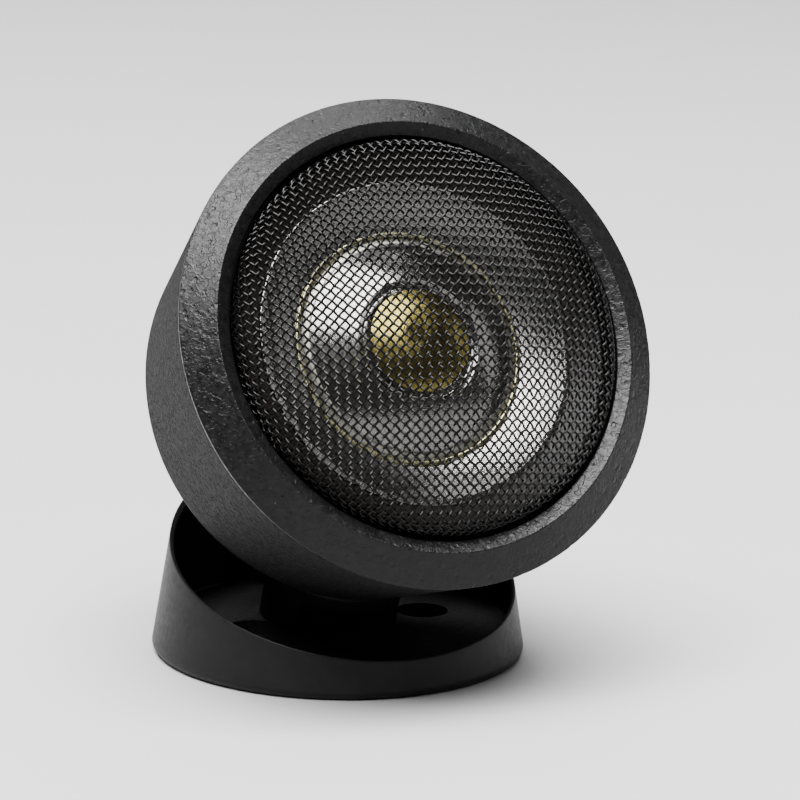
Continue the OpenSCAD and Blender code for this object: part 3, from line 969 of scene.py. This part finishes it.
def make_grommet():
    low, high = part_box("lead_grommet")
    height = (low.z + high.z) / 2
    inner_y = low.y / MM
    outer_y = high.y / MM
    place = Matrix.Translation((0, 0, height)) @ Matrix.Rotation(math.radians(-90), 4, "X")
    outline = rounded([
        (1.5, inner_y, 0.3), (3.2, inner_y, 0.3), (3.2, inner_y + 0.8, 0.2),
        (outlet_bore_r, inner_y + 0.8), (outlet_bore_r, outer_y - 0.8), (3.6, outer_y - 0.8, 0.2),
        (3.6, outer_y, 0.35), (1.5, outer_y, 0.3)], 5)
    obj = revolve("lead_grommet_bush", outline, place, 96)
    stand_for(obj, "base", "lead_grommet", RUBBER)


make_grommet()

# ---------------------------------------------------------------- CAD nodes that keep their shape
KEPT_NODES = {
    "base_plate": ZINC, "plate_screws": ZINC, "seat_pad": RUBBER, "clamp_stud": ZINC,
    "clamp_washer": ZINC, "disc_springs": SPRING_STEEL, "clamp_nut": ZINC, "saddle": SADDLE_PLASTIC,
    "driver_gasket": RUBBER, "driver_screws": BLACK_SCREW, "voice_coil_former": FORMER,
    "voice_coil": COPPER, "top_plate": MOTOR_STEEL, "magnet": NICKEL, "yoke": MOTOR_STEEL,
    "centre_felt": FELT, "felt_ring": FELT, "terminal_board": BOARD, "terminal_tabs": TAB_BRASS}
for node, material in KEPT_NODES.items():
    data = frame["nodes"][node].data
    data.materials.clear()
    data.materials.append(material)

# ---------------------------------------------------------------- studio


def softbox(name, azimuth, elevation, distance, width, height, power):
    """A square-cornered area light, in metres and watts, aimed at the head."""
    data = bpy.data.lights.new(name, "AREA")
    data.shape = "RECTANGLE"
    data.size = width
    data.size_y = height
    data.energy = power
    lamp = bpy.data.objects.new(name, data)
    aim = Vector((0, -0.01, 0.03))
    back = toward(azimuth, elevation)
    lamp.location = aim + back * distance
    lamp.rotation_mode = "QUATERNION"
    lamp.rotation_quaternion = (-back).to_track_quat("-Z", "Y")
    bpy.context.scene.collection.objects.link(lamp)


def make_floor():
    """A pale floor that curves up into a backdrop behind the object."""
    depth = 3.0
    bend = 0.8
    rise = 2.5
    front = -4.0
    half_width = 5.0
    flat_end = depth - bend
    section = [(front, 0.0), (flat_end, 0.0)]
    for a in np.linspace(0.1, math.pi / 2, 12):
        section.append((flat_end + bend * math.sin(a), bend - bend * math.cos(a)))
    section += [(depth, bend + rise)]
    points = []
    for x in (-half_width, half_width):
        points += [(x, y, z) for y, z in section]
    count = len(section)
    faces = [(k, count + k, count + k + 1, k + 1) for k in range(count - 1)]
    mesh = bpy.data.meshes.new("floor")
    mesh.from_pydata(points, [], faces)
    for polygon in mesh.polygons:
        polygon.use_smooth = True
    floor = bpy.data.objects.new("floor", mesh)
    floor.rotation_euler = (0, 0, math.radians(CAMERA_AZIMUTH))
    bpy.context.scene.collection.objects.link(floor)
    s = Shader("floor_paper", (0.32, 0.32, 0.32), 0.8)
    s.colour(s.ramp(s.noise(0.02, 2, 0.5), [(0.0, 0.31), (1.0, 0.33)]))
    mesh.materials.append(s.material)


def make_world():
    world = bpy.data.worlds.new("studio")
    world.use_nodes = True
    background = world.node_tree.nodes["Background"]
    background.inputs["Color"].default_value = (1, 1, 1, 1)
    background.inputs["Strength"].default_value = 0.1
    bpy.context.scene.world = world


make_floor()
make_world()
softbox("key_overhead", -34, 70, 1.3, 1.2, 1.0, 150.0)
softbox("back_overhead", 160, 62, 1.5, 1.2, 0.8, 22.0)
softbox("left_strip", -95, 14, 0.8, 0.2, 0.4, 0.3)
softbox("right_panel", 75, 18, 0.9, 0.3, 0.5, 1.2)
